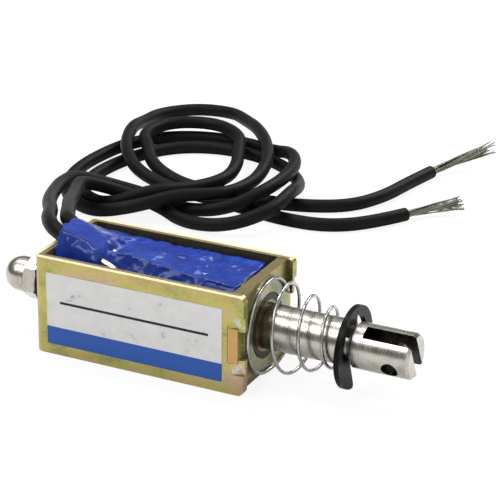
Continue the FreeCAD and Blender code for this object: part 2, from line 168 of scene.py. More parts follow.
# Studio: the floor and how white it looks, the level of the surroundings, what mirrors see as
# (height, level), the height that lamps point at, and each lamp's place, two sides and power
floor_half = 3
floor_grey = 0.9
floor_roughness = 0.9
floor_glow = 0.86
world_level = 0.5
studio_bands = [(0.0, 0.45), (0.12, 0.28), (0.5, 0.2), (0.62, 0.9), (0.9, 1.0), (1.0, 0.7)]
lamp_aim = 0.005
lamps = [
    ("key", (-0.25, -0.35, 0.5), (0.35, 0.35), 2.6),
    ("fill", (0.5, -0.3, 0.25), (0.5, 0.5), 1.2),
    ("rim", (0.05, 0.5, 0.35), (0.3, 0.3), 1.5),
    ("glint", (0.1, 0.28, 0.3), (0.07, 0.07), 0.4),
    ("strip", (-0.2, 0.11, 0.46), (0.34, 0.03), 1.3),
]

# Bare wires at the leads' ends: their twist, how they spread, and where their tips lie
strand_rings = (1, 6, 12)
strand_radius = 0.000105
strand_pitch = 0.00024
strand_spread = 0.00058
strand_spread_least = 0.35
strand_spread_most = 1.3
strand_shift = 0.2
strand_sway = 0.00022
strand_twist = 2.2
strand_shortest = 0.86
strand_lowest = 0.00014
strand_knee = 0.4
strand_steps = 16
strand_sides = 6
strands_a_tip = (0.0119, 0.0655, 0.0019)
strands_b_tip = (0.0093, 0.0872, 0.0041)
strands_a_seed = 3
strands_b_seed = 8

# Sockets of the mix node when it mixes colours, whose names its other kinds share
mix_share = 0
mix_first = 6
mix_second = 7
mix_result = 2

# Leads: how smooth they are, where they leave the frame, their lengths to the stripped ends, and the
# points of their routes from under the tape to the stripped end, with x from the base wall
lead_diameter = 0.0021
lead_order = 3
lead_steps = 8
lead_roundness = 6
lead_a_exit = (-0.0192, -0.0028, 0.0147)
lead_b_exit = (-0.0192, 0.0002, 0.0149)
lead_a_length = 0.349
lead_b_length = 0.302
lead_a_route = [
    (0.00715, -0.00360, 0.01300), (0.00040, -0.00262, 0.01507), (-0.00417, 0.00288, 0.01423),
    (-0.00734, 0.00895, 0.01262), (-0.01125, 0.01460, 0.01118), (-0.01462, 0.02055, 0.00960),
    (-0.01766, 0.02668, 0.00804), (-0.02044, 0.03298, 0.00665), (-0.02218, 0.03989, 0.00528),
    (-0.01859, 0.04558, 0.00242), (-0.01156, 0.04695, 0.00105), (-0.00497, 0.04384, 0.00116),
    (0.00188, 0.04465, 0.00228), (0.00563, 0.05048, 0.00413), (0.00563, 0.05768, 0.00388),
    (0.00437, 0.06462, 0.00372), (0.00075, 0.07064, 0.00322), (-0.00453, 0.07499, 0.00119),
    (-0.01131, 0.07701, 0.00105), (-0.01839, 0.07650, 0.00105), (-0.02460, 0.07304, 0.00105),
    (-0.02837, 0.06704, 0.00105), (-0.02944, 0.06006, 0.00105), (-0.02944, 0.05303, 0.00105),
    (-0.02771, 0.04618, 0.00105), (-0.02369, 0.04030, 0.00105), (-0.01732, 0.03697, 0.00105),
    (-0.01039, 0.03762, 0.00290), (-0.00592, 0.04317, 0.00385), (0.00027, 0.04662, 0.00376),
    (0.00176, 0.05345, 0.00354), (0.00052, 0.06059, 0.00342), (-0.00185, 0.06720, 0.00342),
    (-0.00534, 0.07330, 0.00366), (-0.00955, 0.07890, 0.00333), (-0.01419, 0.08407, 0.00240),
    (-0.01920, 0.08914, 0.00155), (-0.02650, 0.08949, 0.00105), (-0.03127, 0.08399, 0.00105),
    (-0.03049, 0.07683, 0.00178), (-0.02879, 0.07018, 0.00328), (-0.02631, 0.06363, 0.00359),
    (-0.02295, 0.05744, 0.00351), (-0.01799, 0.05253, 0.00244), (-0.01112, 0.05146, 0.00105),
    (-0.00413, 0.05074, 0.00105), (0.00269, 0.04909, 0.00115), (0.00959, 0.04784, 0.00105),
    (0.01670, 0.04815, 0.00105), (0.02233, 0.05247, 0.00105), (0.02585, 0.05858, 0.00105),
]
lead_b_route = [
    (0.00715, -0.00120, 0.01360), (0.00045, 0.00059, 0.01522), (-0.00332, 0.00658, 0.01381),
    (-0.00663, 0.01253, 0.01207), (-0.01018, 0.01834, 0.01035), (-0.01314, 0.02446, 0.00857),
    (-0.01632, 0.03047, 0.00714), (-0.01942, 0.03697, 0.00584), (-0.01619, 0.04295, 0.00285),
    (-0.00901, 0.04368, 0.00115), (-0.00306, 0.03950, 0.00105), (0.00425, 0.03968, 0.00163),
    (0.00961, 0.04416, 0.00350), (0.00957, 0.05149, 0.00429), (0.00778, 0.05806, 0.00245),
    (0.00496, 0.06434, 0.00105), (0.00005, 0.06951, 0.00105), (-0.00653, 0.07217, 0.00105),
    (-0.01364, 0.07263, 0.00105), (-0.02011, 0.06961, 0.00105), (-0.02373, 0.06347, 0.00105),
    (-0.02534, 0.05659, 0.00105), (-0.02543, 0.04951, 0.00105), (-0.02292, 0.04266, 0.00116),
    (-0.01629, 0.03924, 0.00146), (-0.00995, 0.04169, 0.00432), (-0.00554, 0.04730, 0.00350),
    (-0.00264, 0.05367, 0.00351), (-0.00426, 0.06066, 0.00343), (-0.00726, 0.06702, 0.00339),
    (-0.01007, 0.07361, 0.00351), (-0.01657, 0.07747, 0.00349), (-0.02357, 0.07466, 0.00351),
    (-0.02540, 0.06730, 0.00349), (-0.02089, 0.06124, 0.00348), (-0.01694, 0.05531, 0.00280),
    (-0.01019, 0.05370, 0.00105), (-0.00312, 0.05417, 0.00105), (0.00387, 0.05303, 0.00114),
    (0.01085, 0.05396, 0.00125), (0.01690, 0.05784, 0.00105), (0.01990, 0.06438, 0.00105),
    (0.02094, 0.07134, 0.00105), (0.02235, 0.07822, 0.00105),
]
lead_a_points = [(base_outer + x, y, z) for x, y, z in lead_a_route]
lead_b_points = [(base_outer + x, y, z) for x, y, z in lead_b_route]


def link(obj):
    bpy.context.scene.collection.objects.link(obj)
    return obj


def add_camera():
    """The camera, turned from its two angles and its roll."""
    ca, sa = math.cos(camera_azimuth), math.sin(camera_azimuth)
    ce, se = math.cos(camera_elevation), math.sin(camera_elevation)
    back = Vector((sa * ce, -ca * ce, se))
    right = Vector((ca, sa, 0.0))
    up = back.cross(right)
    cr, sr = math.cos(camera_roll), math.sin(camera_roll)
    turned_right = cr * right + sr * up
    turned_up = cr * up - sr * right
    data = bpy.data.cameras.new("camera")
    data.lens = camera_lens
    data.sensor_width = camera_sensor
    data.sensor_fit = "HORIZONTAL"
    data.clip_start = camera_near
    data.clip_end = camera_far
    camera = link(bpy.data.objects.new("camera", data))
    camera.matrix_world = Matrix((
        (turned_right.x, turned_up.x, back.x, camera_place[0]),
        (turned_right.y, turned_up.y, back.y, camera_place[1]),
        (turned_right.z, turned_up.z, back.z, camera_place[2]),
        (0.0, 0.0, 0.0, 1.0),
    ))
    bpy.context.scene.camera = camera


def lead_curve(name, route):
    """A lead: one smooth spline with the route's points as its control points.

    The points carry the radius, so the bevel's depth is one.
    """
    curve = bpy.data.curves.new(name, "CURVE")
    curve.dimensions = "3D"
    spline = curve.splines.new("NURBS")
    spline.points.add(len(route) - 1)
    for point, place in zip(spline.points, route):
        point.co = (*place, 1.0)
        point.radius = lead_diameter / 2
    spline.order_u = lead_order
    spline.use_endpoint_u = True
    spline.resolution_u = lead_steps
    curve.bevel_depth = 1.0
    curve.bevel_resolution = lead_roundness
    curve.use_fill_caps = True
    return link(bpy.data.objects.new(name, curve))


def mesh_object(name, points, faces, smooth=True):
    mesh = bpy.data.meshes.new(name)
    mesh.from_pydata([tuple(p) for p in points], [], faces)
    mesh.update()
    for polygon in mesh.polygons:
        polygon.use_smooth = smooth
    return link(bpy.data.objects.new(name, mesh))


def tube(path, radius, sides, first_vertex=0):
    """Points and faces of a round tube along a path, with closed ends."""
    points = []
    faces = []
    side = (path[1] - path[0]).orthogonal().normalized()
    for i, place in enumerate(path):
        ahead = path[min(i + 1, len(path) - 1)] - path[max(i - 1, 0)]
        side = (side - ahead * (side.dot(ahead) / ahead.length_squared)).normalized()
        other = ahead.normalized().cross(side)
        for j in range(sides):
            angle = 2 * math.pi * j / sides
            points.append(place + side * (radius * math.cos(angle)) + other * (radius * math.sin(angle)))
    for i in range(len(path) - 1):
        for j in range(sides):
            a = first_vertex + i * sides + j
            b = first_vertex + i * sides + (j + 1) % sides
            faces.append((a, b, b + sides, a + sides))
    last = first_vertex + (len(path) - 1) * sides
    faces.append(tuple(first_vertex + j for j in reversed(range(sides))))
    faces.append(tuple(last + j for j in range(sides)))
    return points, faces


def spring_turn(turn):
    """Place along the axis and radius of the spring's wire after some turns; both end coils lie flat."""
    share = min(max(turn, 0.0), spring_open_turns) / spring_open_turns
    x = spring_start + (spring_end - spring_start) * share ** spring_pitch_power
    radius = spring_cone_radius - spring_cone_slope * (x - spring_start)
    return x, min(spring_large, max(spring_small, radius))


def spring_path():
    """The conical spring, a right-hand coil, from its flat end on the washer to the one at the clip."""
    path = []
    turns = spring_open_turns + 2 * spring_end_turns
    steps = int(turns * spring_steps)
    for i in range(steps + 1):
        turn = turns * i / steps - spring_end_turns
        x, radius = spring_turn(turn)
        angle = math.radians(spring_first_angle) + 2 * math.pi * turn
        path.append(Vector((x, radius * math.cos(angle), axis_height + radius * math.sin(angle))))
    return path


def spring():
    points, faces = tube(spring_path(), spring_wire / 2, spring_sides)
    obj = mesh_object("spring_wire", points, faces)
    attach(obj, "housing")
    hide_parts("return_spring")
    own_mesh(obj)
    return obj


def route_end(curve):
    """The last point of a lead's smooth line and the way it points there."""
    thin = curve.data.copy()
    thin.bevel_depth = 0.0
    probe = link(bpy.data.objects.new("probe", thin))
    bpy.context.view_layer.update()
    mesh = bpy.data.meshes.new_from_object(probe.evaluated_get(bpy.context.evaluated_depsgraph_get()))
    last, before = mesh.vertices[-1].co.copy(), mesh.vertices[-2].co.copy()
    bpy.data.objects.remove(probe)
    bpy.data.curves.remove(thin)
    bpy.data.meshes.remove(mesh)
    return last, (last - before).normalized()


def strands(name, lead, node, tip, seed):
    """The fine wires of a stripped end: twisted together at the insulation, apart at their tips."""
    rng = random.Random(seed)
    start, ahead = route_end(lead)
    tip = Vector(tip)
    knee = start + ahead * (strand_knee * (tip - start).length)
    side = (tip - start).cross(Vector((0, 0, 1))).normalized()
    up = side.cross((tip - start).normalized())
    points, faces = [], []
    rings = [ring for ring, wires in enumerate(strand_rings) for _ in range(wires)]
    for i, ring in enumerate(rings):
        angle = 2 * math.pi * (i / strand_rings[ring]) + rng.uniform(-strand_shift, strand_shift)
        spread = rng.uniform(strand_spread_least, strand_spread_most) * strand_spread * ring / 2
        length = rng.uniform(strand_shortest, 1.0)
        sway = rng.uniform(-1, 1) * strand_sway
        path = []
        for k in range(strand_steps + 1):
            t = length * k / strand_steps
            middle = start * (1 - t) ** 2 + knee * (2 * t * (1 - t)) + tip * t ** 2
            turn = angle + strand_twist * t
            radial = ring * strand_pitch + spread * t ** 3
            across = math.cos(turn) * radial + sway * math.sin(math.pi * t)
            place = middle + side * across + up * (math.sin(turn) * radial)
            place.z = max(place.z, strand_lowest)
            path.append(place)
        more, quads = tube(path, strand_radius, strand_sides, first_vertex=len(points))
        points += more
        faces += quads
    obj = mesh_object(name, points, faces)
    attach(obj, "housing")
    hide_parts(node)
    return obj


def ridge_height(x):
    """How high the film's ridge is at one place along the coil."""
    for (x0, z0), (x1, z1) in zip(tape_ridge, tape_ridge[1:]):
        if x <= x1:
            share = max(0.0, (x - x0) / (x1 - x0))
            return z0 + (z1 - z0) * share
    return tape_ridge[-1][1]


def hull(points):
    """The convex outline round points in a plane, counter-clockwise."""
    points = sorted(set(points))
    chains = []
    for ordered in (points, points[::-1]):
        chain = []
        for p in ordered:
            while len(chain) > 1:
                (ax, ay), (bx, by) = chain[-2], chain[-1]
                if (bx - ax) * (p[1] - ay) - (by - ay) * (p[0] - ax) > 0:
                    break
                chain.pop()
            chain.append(p)
        chains += chain[:-1]
    return chains


def tape_outline(x):
    """The stretched film's outline across the coil, as offsets from the plunger's axis."""
    points = []
    for degrees in tape_round:
        angle = math.radians(degrees)
        points.append((tape_outer * math.cos(angle), tape_outer * math.sin(angle)))
    points.append((tape_outer, tape_back_level - tape_back_fall - axis_height))
    points.append((tape_back_edge, tape_back_level - axis_height))
    points.append((tape_ridge_y, ridge_height(x) - axis_height))
    for route in (lead_a_points, lead_b_points):
        first, second = Vector(route[0]), Vector(route[1])
        if x > first.x + lead_diameter / 2:
            continue
        share = (x - first.x) / (second.x - first.x)
        middle = first + (second - first) * share
        size = lead_diameter / 2 + film_over_leads
        height = middle.z - axis_height
        for degrees in lead_round:
            angle = math.radians(degrees)
            points.append((middle.y + size * math.cos(angle), height + size * math.sin(angle)))
    return hull(points)


def reach(outline, angle):
    """How far the outline is from the axis in one direction."""
    dy, dz = math.cos(angle), math.sin(angle)
    for (ay, az), (by, bz) in zip(outline, outline[1:] + outline[:1]):
        ey, ez = by - ay, bz - az
        across = dy * ez - dz * ey
        if abs(across) < parallel:
            continue
        distance = (ay * ez - az * ey) / across
        share = (ay * dz - az * dy) / across
        if distance > 0 and -end_slack <= share <= 1 + end_slack:
            return distance
    return tape_outer


def flap_start(angle):
    """Where the film starts along the coil: at the top its flap reaches further over the leads."""
    from_top = abs(angle - math.radians(tape_flap_middle))
    over = math.cos(tape_flap_narrows * from_top) if from_top < tape_flap_half else 0.0
    return tape_start - tape_flap * min(1.0, tape_flap_fullness * over)


def within_degrees(angle, low, high):
    return math.radians(low) < angle < math.radians(high)


def crinkle_height(x, angle):
    """Creases are deep on the top and the front slope, and shallow where the film is tight."""
    if x < film_over_leads_ends and within_degrees(angle, *film_over_leads_angles):
        return film_crease_over_leads
    if within_degrees(angle, *film_loose_angles):
        return film_crease_crumpled if x > film_crumpled_from else film_crease_top
    return film_crease_tight


def film_points(rng):
    """The film's grid of points, ring by ring along the coil, and which of them lie on its ridge."""
    points, ridge = [], set()
    ridge_angle = math.atan2(ridge_height(tape_start) - axis_height, tape_ridge_y)
    for i in range(film_stations + 1):
        along = i / film_stations
        inside = 0 < i < film_stations
        for j in range(film_around):
            angle = 2 * math.pi * j / film_around
            if inside:
                angle += rng.uniform(-film_shift, film_shift) * 2 * math.pi / film_around
            on_ridge = abs(angle - ridge_angle) < math.pi / film_around
            start = flap_start(angle)
            x = start + (tape_end - start) * along
            if inside:
                x += rng.uniform(-film_shift, film_shift) * (tape_end - start) / film_stations
            if on_ridge:
                angle = math.atan2(ridge_height(x) - axis_height, tape_ridge_y)
                ridge.add(len(points))
            radius = reach(tape_outline(x), angle)
            if inside and on_ridge:
                radius += rng.uniform(0.0, film_ridge_rises) * crinkle_height(x, angle)
            elif inside:
                radius += rng.uniform(film_sinks, film_rises) * crinkle_height(x, angle)
            radius = max(radius, tape_inner + film_least)
            y = radius * math.cos(angle)
            y = max(-wall_inner + film_side_gap, min(wall_inner - film_side_gap, y))
            points.append((x, y, axis_height + radius * math.sin(angle)))
    return points, ridge


def film_faces(rng):
    """Two triangles for each field of the grid, cut one way or the other by chance."""
    faces = []
    for i in range(film_stations):
        for j in range(film_around):
            a, b = i * film_around + j, i * film_around + (j + 1) % film_around
            c, d = b + film_around, a + film_around
            faces += [(a, d, c), (a, c, b)] if rng.random() < 0.5 else [(a, d, b), (b, d, c)]
    return faces


def close_film_ends(points, faces):
    """Flat rings at both ends, from the film's edge in to its inner radius."""
    for i in (0, film_stations):
        ring = len(points)
        x = points[i * film_around][0]
        for j in range(film_around):
            angle = 2 * math.pi * j / film_around
            points.append((x, tape_inner * math.cos(angle), axis_height + tape_inner * math.sin(angle)))
        for j in range(film_around):
            a, b = i * film_around + j, i * film_around + (j + 1) % film_around
            c, d = ring + (j + 1) % film_around, ring + j
            faces.append((a, b, c, d) if i == 0 else (d, c, b, a))


def tape():
    """Crinkled film wound round the coil and over the leads' inner ends."""
    rng = random.Random(film_seed)
    points, ridge = film_points(rng)
    faces = film_faces(rng)
    close_film_ends(points, faces)
    obj = mesh_object("blue_film", points, faces)
    crease = obj.data.attributes.new("crease_edge", "FLOAT", "EDGE")
    for item, edge in zip(crease.data, obj.data.edges):
        folded = ridge.issuperset(edge.vertices) or rng.random() < film_sharp_share
        item.value = film_sharp if folded else film_soft
    smooth = obj.modifiers.new("smooth", "SUBSURF")
    smooth.levels = film_smooth_levels
    smooth.render_levels = film_smooth_levels
    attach(obj, "housing")
    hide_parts("coil_tape", "lead_wrap_tape")
    return obj


class Surface:
    """A node-based material with one principled shader, and short calls for its detail."""

    def __init__(self, name, settings=None):
        self.material = bpy.data.materials.new(name)
        self.material.use_nodes = True
        self.tree = self.material.node_tree
        self.shader = self.tree.nodes["Principled BSDF"]
        self.place = self.tree.nodes.new("ShaderNodeTexCoord").outputs["Object"]
        self.tint = None
        for socket, value in (settings or {}).items():
            self.shader.inputs[socket].default_value = value

    def node(self, kind, **values):
        made = self.tree.nodes.new(kind)
        for key, value in values.items():
            setattr(made, key, value)
        return made

    def wire(self, source, target):
        self.tree.links.new(source, target)

    def stretched(self, scale):
        """The object's coordinates, scaled along each axis."""
        mapping = self.node("ShaderNodeMapping")
        mapping.inputs["Scale"].default_value = scale
        self.wire(self.place, mapping.inputs["Vector"])
        return mapping.outputs["Vector"]

    def noise(self, scale, detail=4.0, roughness=0.55, distortion=0.0):
        """Noise whose scale is the number of features in a metre along each axis."""
        made = self.node("ShaderNodeTexNoise")
        made.inputs["Scale"].default_value = 1.0
        made.inputs["Detail"].default_value = detail
        made.inputs["Roughness"].default_value = roughness
        made.inputs["Distortion"].default_value = distortion
        self.wire(self.stretched(scale), made.inputs["Vector"])
        return made.outputs["Fac"]

    def ramp(self, source, stops):
        made = self.node("ShaderNodeValToRGB")
        elements = made.color_ramp.elements
        while len(elements) < len(stops):
            elements.new(0.5)
        for element, (position, colour) in zip(elements, stops):
            element.position = position
            element.color = (*colour, 1.0)
        self.wire(source, made.inputs["Fac"])
        return made.outputs["Color"]

    def spread(self, source, low, high, start=0.3, end=0.7):
        """A value that goes from low to high while the source goes from start to end."""
        made = self.node("ShaderNodeMapRange")
        made.inputs["From Min"].default_value = start
        made.inputs["From Max"].default_value = end
        made.inputs["To Min"].default_value = low
        made.inputs["To Max"].default_value = high
        self.wire(source, made.inputs["Value"])
        return made.outputs["Result"]

    def math(self, operation, a, b):
        made = self.node("ShaderNodeMath", operation=operation)
        for socket, value in zip(made.inputs, (a, b)):
            if isinstance(value, (int, float)):
                socket.default_value = value
            else:
                self.wire(value, socket)
        return made.outputs["Value"]

    def axis(self, name):
        made = self.node("ShaderNodeSeparateXYZ")
        self.wire(self.place, made.inputs["Vector"])
        return made.outputs[name]

    def mix(self, share, first, second):
        made = self.node("ShaderNodeMix", data_type="RGBA")
        for number, value in ((mix_share, share), (mix_first, first), (mix_second, second)):
            socket = made.inputs[number]
            if isinstance(value, tuple):
                socket.default_value = (*value, 1.0)
            elif isinstance(value, (int, float)):
                socket.default_value = value
            else:
                self.wire(value, socket)
        return made.outputs[mix_result]

    def colour(self, source):
        self.wire(source, self.shader.inputs["Base Color"])

    def roughness(self, source):
        self.wire(source, self.shader.inputs["Roughness"])

    def bump(self, source, depth, strength=1.0):
        made = self.node("ShaderNodeBump")
        made.inputs["Strength"].default_value = strength
        made.inputs["Distance"].default_value = depth
        self.wire(source, made.inputs["Height"])
        self.wire(made.outputs["Normal"], self.shader.inputs["Normal"])

    def layer(self, shade, where, strength, colour):
        """A colour laid over a shade at some strength, where a mask is one."""
        return self.mix(self.math("MULTIPLY", where, strength), shade, colour)

    def between(self, source, low, high):
        """One where the source lies between two values, and zero elsewhere."""
        above = self.math("GREATER_THAN", source, low)
        below = self.math("LESS_THAN", source, high)
        return self.math("MULTIPLY", above, below)


def zinc(name, stops, roughness):
    """Zinc plating, whose tint drifts through the colour stops."""
    surface = Surface(name, {"Metallic": 0.75})
    soft = surface.noise((150, 150, 210), detail=3.0, roughness=0.5, distortion=0.3)
    grain = surface.noise((1500, 1500, 1900), detail=6.0, roughness=0.75)
    tint = surface.math("ADD", surface.math("MULTIPLY", soft, 0.66), surface.math("MULTIPLY", grain, 0.34))
    surface.tint = surface.ramp(tint, stops)
    surface.colour(surface.tint)
    fine = surface.noise((2600, 2600, 2600), detail=3.0)
    surface.roughness(surface.spread(fine, roughness - 0.08, roughness + 0.12))
    surface.bump(fine, depth=0.00002, strength=0.5)
    return surface


def tab_places(surface, along, across, height):
    """The outer faces of the end plate's tabs."""
    outside = surface.math("GREATER_THAN", across, tab_face)
    tab = surface.math("MULTIPLY", outside, surface.between(height, tab_low, tab_high))
    return surface.math("MULTIPLY", tab, surface.between(along, tab_rear, tab_front))


def stake_places(surface, along, across, height):
    """The walls' corners above and below the tabs, bare in patches where they were hammered over."""
    upper, lower = surface.between(height, tab_high, stake_high), surface.between(height, stake_low, tab_low)
    stake = surface.math("ADD", upper, lower)
    stake = surface.math("MULTIPLY", stake, surface.math("GREATER_THAN", along, stake_rear))
    stake = surface.math("MULTIPLY", stake, surface.between(across, stake_deep, stake_face))
    worn = surface.spread(surface.noise((1100, 1100, 1100), detail=3.0), 0.0, 1.0, start=0.42, end=0.56)
    return surface.math("MULTIPLY", stake, worn)


def rim_places(surface, along, height):
    """The rims at the base wall, the foot and the top, fading inwards and broken by patches."""
    rear = surface.spread(along, 1.0, 0.0, start=base_outer, end=base_outer + tan_reach)
    low = surface.spread(height, 1.0, 0.0, start=0.0, end=tan_reach)
    high = surface.spread(height, 0.0, 1.0, start=frame_height - tan_reach, end=frame_height)
    rim = surface.math("MAXIMUM", surface.math("MAXIMUM", rear, low), high)
    patches = surface.spread(surface.noise((420, 420, 420)), 0.1, 0.9, start=0.4, end=0.6)
    return surface.math("MULTIPLY", rim, patches)


def painted_highlight_places(surface, along, across, top):
    """The outer border of the top faces, where a highlight is painted."""
    side = surface.math("GREATER_THAN", across, painted_highlight_from)
    rear = surface.math("LESS_THAN", along, base_outer + painted_highlight_rear)
    return surface.math("MULTIPLY", surface.math("MAXIMUM", side, rear), top)


def zinc_yellow():
    """Yellow zinc with the frame's places: rims, tabs, staked corners, painted shade inside, a brown top
    with a painted highlight.
    """
    stops = [
        (0.38, (0.18, 0.21, 0.08)), (0.45, (0.31, 0.285, 0.075)), (0.53, (0.36, 0.32, 0.10)),
        (0.59, (0.38, 0.28, 0.14)), (0.65, (0.32, 0.23, 0.18)),
    ]
    surface = zinc("zinc_yellow", stops, 0.33)
    along, height = surface.axis("X"), surface.axis("Z")
    across = surface.math("ABSOLUTE", surface.axis("Y"), 0)
    tabs = tab_places(surface, along, across, height)
    stakes = stake_places(surface, along, across, height)
    rims = rim_places(surface, along, height)
    within = surface.math("LESS_THAN", across, wall_inner + wall_skin)
    inside = surface.between(along, tape_start - inside_shade_rear, plate_rear)
    plate_shade = surface.between(along, plate_rear, washer_face)
    top = surface.math("GREATER_THAN", height, frame_height - top_skin)
    painted_highlight = painted_highlight_places(surface, along, across, top)
    shade = surface.mix(rims, surface.tint, (0.36, 0.25, 0.12))
    shade = surface.layer(shade, tabs, 0.8, (0.42, 0.22, 0.085))
    shade = surface.mix(stakes, shade, (0.40, 0.38, 0.34))
    # Painted shade on the inner faces of the walls, from behind the film to the end plate
    shade = surface.layer(shade, surface.math("MULTIPLY", within, inside), 0.85, (0.055, 0.042, 0.022))
    # Painted shade on the end plate's outer face between the walls
    shade = surface.layer(shade, surface.math("MULTIPLY", within, plate_shade), 0.5, (0.17, 0.135, 0.06))
    shade = surface.layer(shade, top, 0.7, (0.33, 0.27, 0.15))
    # Painted highlight: a cream colour, less metallic, along the outer border of the top faces
    surface.colour(surface.layer(shade, painted_highlight, 0.8, (0.84, 0.77, 0.50)))
    surface.wire(surface.spread(painted_highlight, 0.75, 0.25, start=0.0, end=1.0), surface.shader.inputs["Metallic"])
    return surface


def zinc_pale():
    stops = [(0.38, (0.16, 0.185, 0.10)), (0.5, (0.22, 0.24, 0.13)), (0.62, (0.27, 0.25, 0.15))]
    return zinc("zinc_pale", stops, 0.3)


def bright_metal(name, colour, roughness, turned=False):
    """Bare or nickel-plated metal with faint stains. A turned piece has fine marks round the X axis."""
    surface = Surface(name, {"Metallic": 1.0})
    stain = surface.noise((500, 700, 700), detail=6.0, roughness=0.65)
    dark = tuple(0.72 * c for c in colour)
    surface.tint = surface.ramp(stain, [(0.32, dark), (0.5, colour), (0.7, tuple(1.08 * c for c in colour))])
    surface.colour(surface.tint)
    marks = surface.noise((9000, 300, 300) if turned else (1500, 1500, 1500), detail=3.0)
    surface.roughness(surface.spread(marks, roughness - 0.06, roughness + 0.1))
    surface.bump(marks, depth=0.000012, strength=0.35)
    return surface


def nickel():
    """Turned and plated steel, with painted shade in slot, hole and crease, and painted brown shade and
    reflection where it enters the tube.
    """
    surface = bright_metal("nickel_steel", (0.37, 0.35, 0.315), 0.25, turned=True)
    along = surface.axis("X")
    across = surface.axis("Y")
    height = surface.math("SUBTRACT", surface.axis("Z"), axis_height)
    # Distances from the axis along the pin hole and square to it
    pin_y, pin_z = math.cos(math.radians(clevis_roll)), math.sin(math.radians(clevis_roll))
    parts = [surface.math("MULTIPLY", *pair) for pair in (
        (across, pin_y), (height, pin_z), (height, pin_y), (across, pin_z),
    )]
    on_pin, off_pin = surface.math("ADD", *parts[:2]), surface.math("SUBTRACT", *parts[2:])
    in_slot = surface.math("LESS_THAN", surface.math("ABSOLUTE", on_pin, 0), slot_half_width)
    in_slot = surface.math("MULTIPLY", in_slot, surface.math("GREATER_THAN", along, slot_floor))
    from_hole = surface.math("SUBTRACT", along, hole_place)
    square = surface.math("ADD", surface.math("POWER", from_hole, 2), surface.math("POWER", off_pin, 2))
    in_hole = surface.math("LESS_THAN", square, hole_radius ** 2)
    hollow_shade = surface.math("MAXIMUM", in_slot, in_hole)
    # Painted brown shade and reflection of the collar where the plunger enters the tube
    entry_shade = surface.between(along, washer_face - entry_shade_before_face, entry_shade_end)
    shade = surface.layer(surface.tint, entry_shade, 0.8, (0.16, 0.115, 0.06))
    # Painted shade in the crease between the nut's dome and hex
    crease = surface.between(along, nut_crease - nut_crease_shade_half, nut_crease + nut_crease_shade_half)
    shade = surface.layer(shade, crease, 0.8, (0.05, 0.045, 0.04))
    # Painted shade in the slot and the pin hole
    surface.colour(surface.mix(hollow_shade, shade, (0.035, 0.031, 0.028)))
    return surface


def plain(name, colour, roughness, grain=3000, shine=0.3):
    """A finish without metal: one colour, slightly cloudy, with a fine grain."""
    surface = Surface(name, {"Specular IOR Level": shine})
    cloud = surface.noise((180, 180, 180), detail=4.0)
    low, high = tuple(0.8 * c for c in colour), tuple(1.3 * c for c in colour)
    surface.colour(surface.ramp(cloud, [(0.35, low), (0.65, high)]))
    fine = surface.noise((grain, grain, grain), detail=2.0)
    surface.roughness(surface.spread(fine, roughness - 0.06, roughness + 0.08))
    surface.bump(fine, depth=0.00001, strength=0.4)
    return surface


def film():
    """Glossy blue film, with painted shade in patches on its front slope, and fine creases."""
    surface = Surface("blue_tape", {"Coat Weight": 0.24, "Coat Roughness": 0.05, "Specular IOR Level": 0.08})
    cloud = surface.noise((220, 300, 300), detail=3.0)
    tint = surface.ramp(cloud, [(0.35, (0.006, 0.022, 0.18)), (0.65, (0.011, 0.040, 0.28))])
    # Painted shade: the front slope, below the ridge, darker in patches
    front_slope_shade = surface.math("LESS_THAN", surface.axis("Y"), tape_ridge_y)
    shade_patches = surface.spread(surface.noise((260, 420, 420), detail=2.0), 0.15, 0.75, start=0.4, end=0.6)
    surface.colour(surface.mix(surface.math("MULTIPLY", front_slope_shade, shade_patches), tint, (0.004, 0.015, 0.12)))
    surface.roughness(surface.spread(cloud, 0.25, 0.38))
    crease = surface.noise((700, 1100, 1100), detail=3.0, roughness=0.55, distortion=0.9)
    surface.bump(crease, depth=0.00015, strength=0.55)
    return surface


def label_print():
    """White film with a blue band along its foot and one thin black rule."""
    surface = Surface("label_film", {"Specular IOR Level": 0.25})
    height = surface.axis("Z")
    along = surface.axis("X")
    speck = surface.noise((700, 700, 700), detail=3.0)
    greys = [(0.27, (0.29, 0.29, 0.29)), (0.33, (0.43, 0.425, 0.42)), (0.7, (0.475, 0.47, 0.465))]
    paper = surface.ramp(speck, greys)
    band = surface.math("LESS_THAN", height, band_top)
    rule = surface.math(
        "MULTIPLY", surface.between(height, rule_level - rule_width / 2, rule_level + rule_width / 2),
        surface.between(along, rule_start, rule_end),
    )
    shade = surface.mix(band, paper, (0.010, 0.056, 0.25))
    surface.colour(surface.mix(rule, shade, (0.003, 0.003, 0.003)))
    fine = surface.noise((1800, 1800, 1800), detail=2.0)
    surface.roughness(surface.spread(fine, 0.34, 0.46))
    surface.bump(fine, depth=0.00001, strength=0.3)
    return surface


def winding():
    """Copper wire wound in turns along the X axis."""
    surface = Surface("copper_wire", {"Metallic": 0.6})
    turns = surface.node("ShaderNodeTexWave", wave_type="BANDS", bands_direction="X")
    turns.inputs["Scale"].default_value = 2200.0
    surface.wire(surface.place, turns.inputs["Vector"])
    stops = [(0.1, (0.20, 0.06, 0.02)), (0.6, (0.62, 0.24, 0.10))]
    surface.colour(surface.ramp(turns.outputs["Fac"], stops))
    surface.roughness(surface.spread(turns.outputs["Fac"], 0.25, 0.4))
    surface.bump(turns.outputs["Fac"], depth=0.00005, strength=0.8)
    return surface


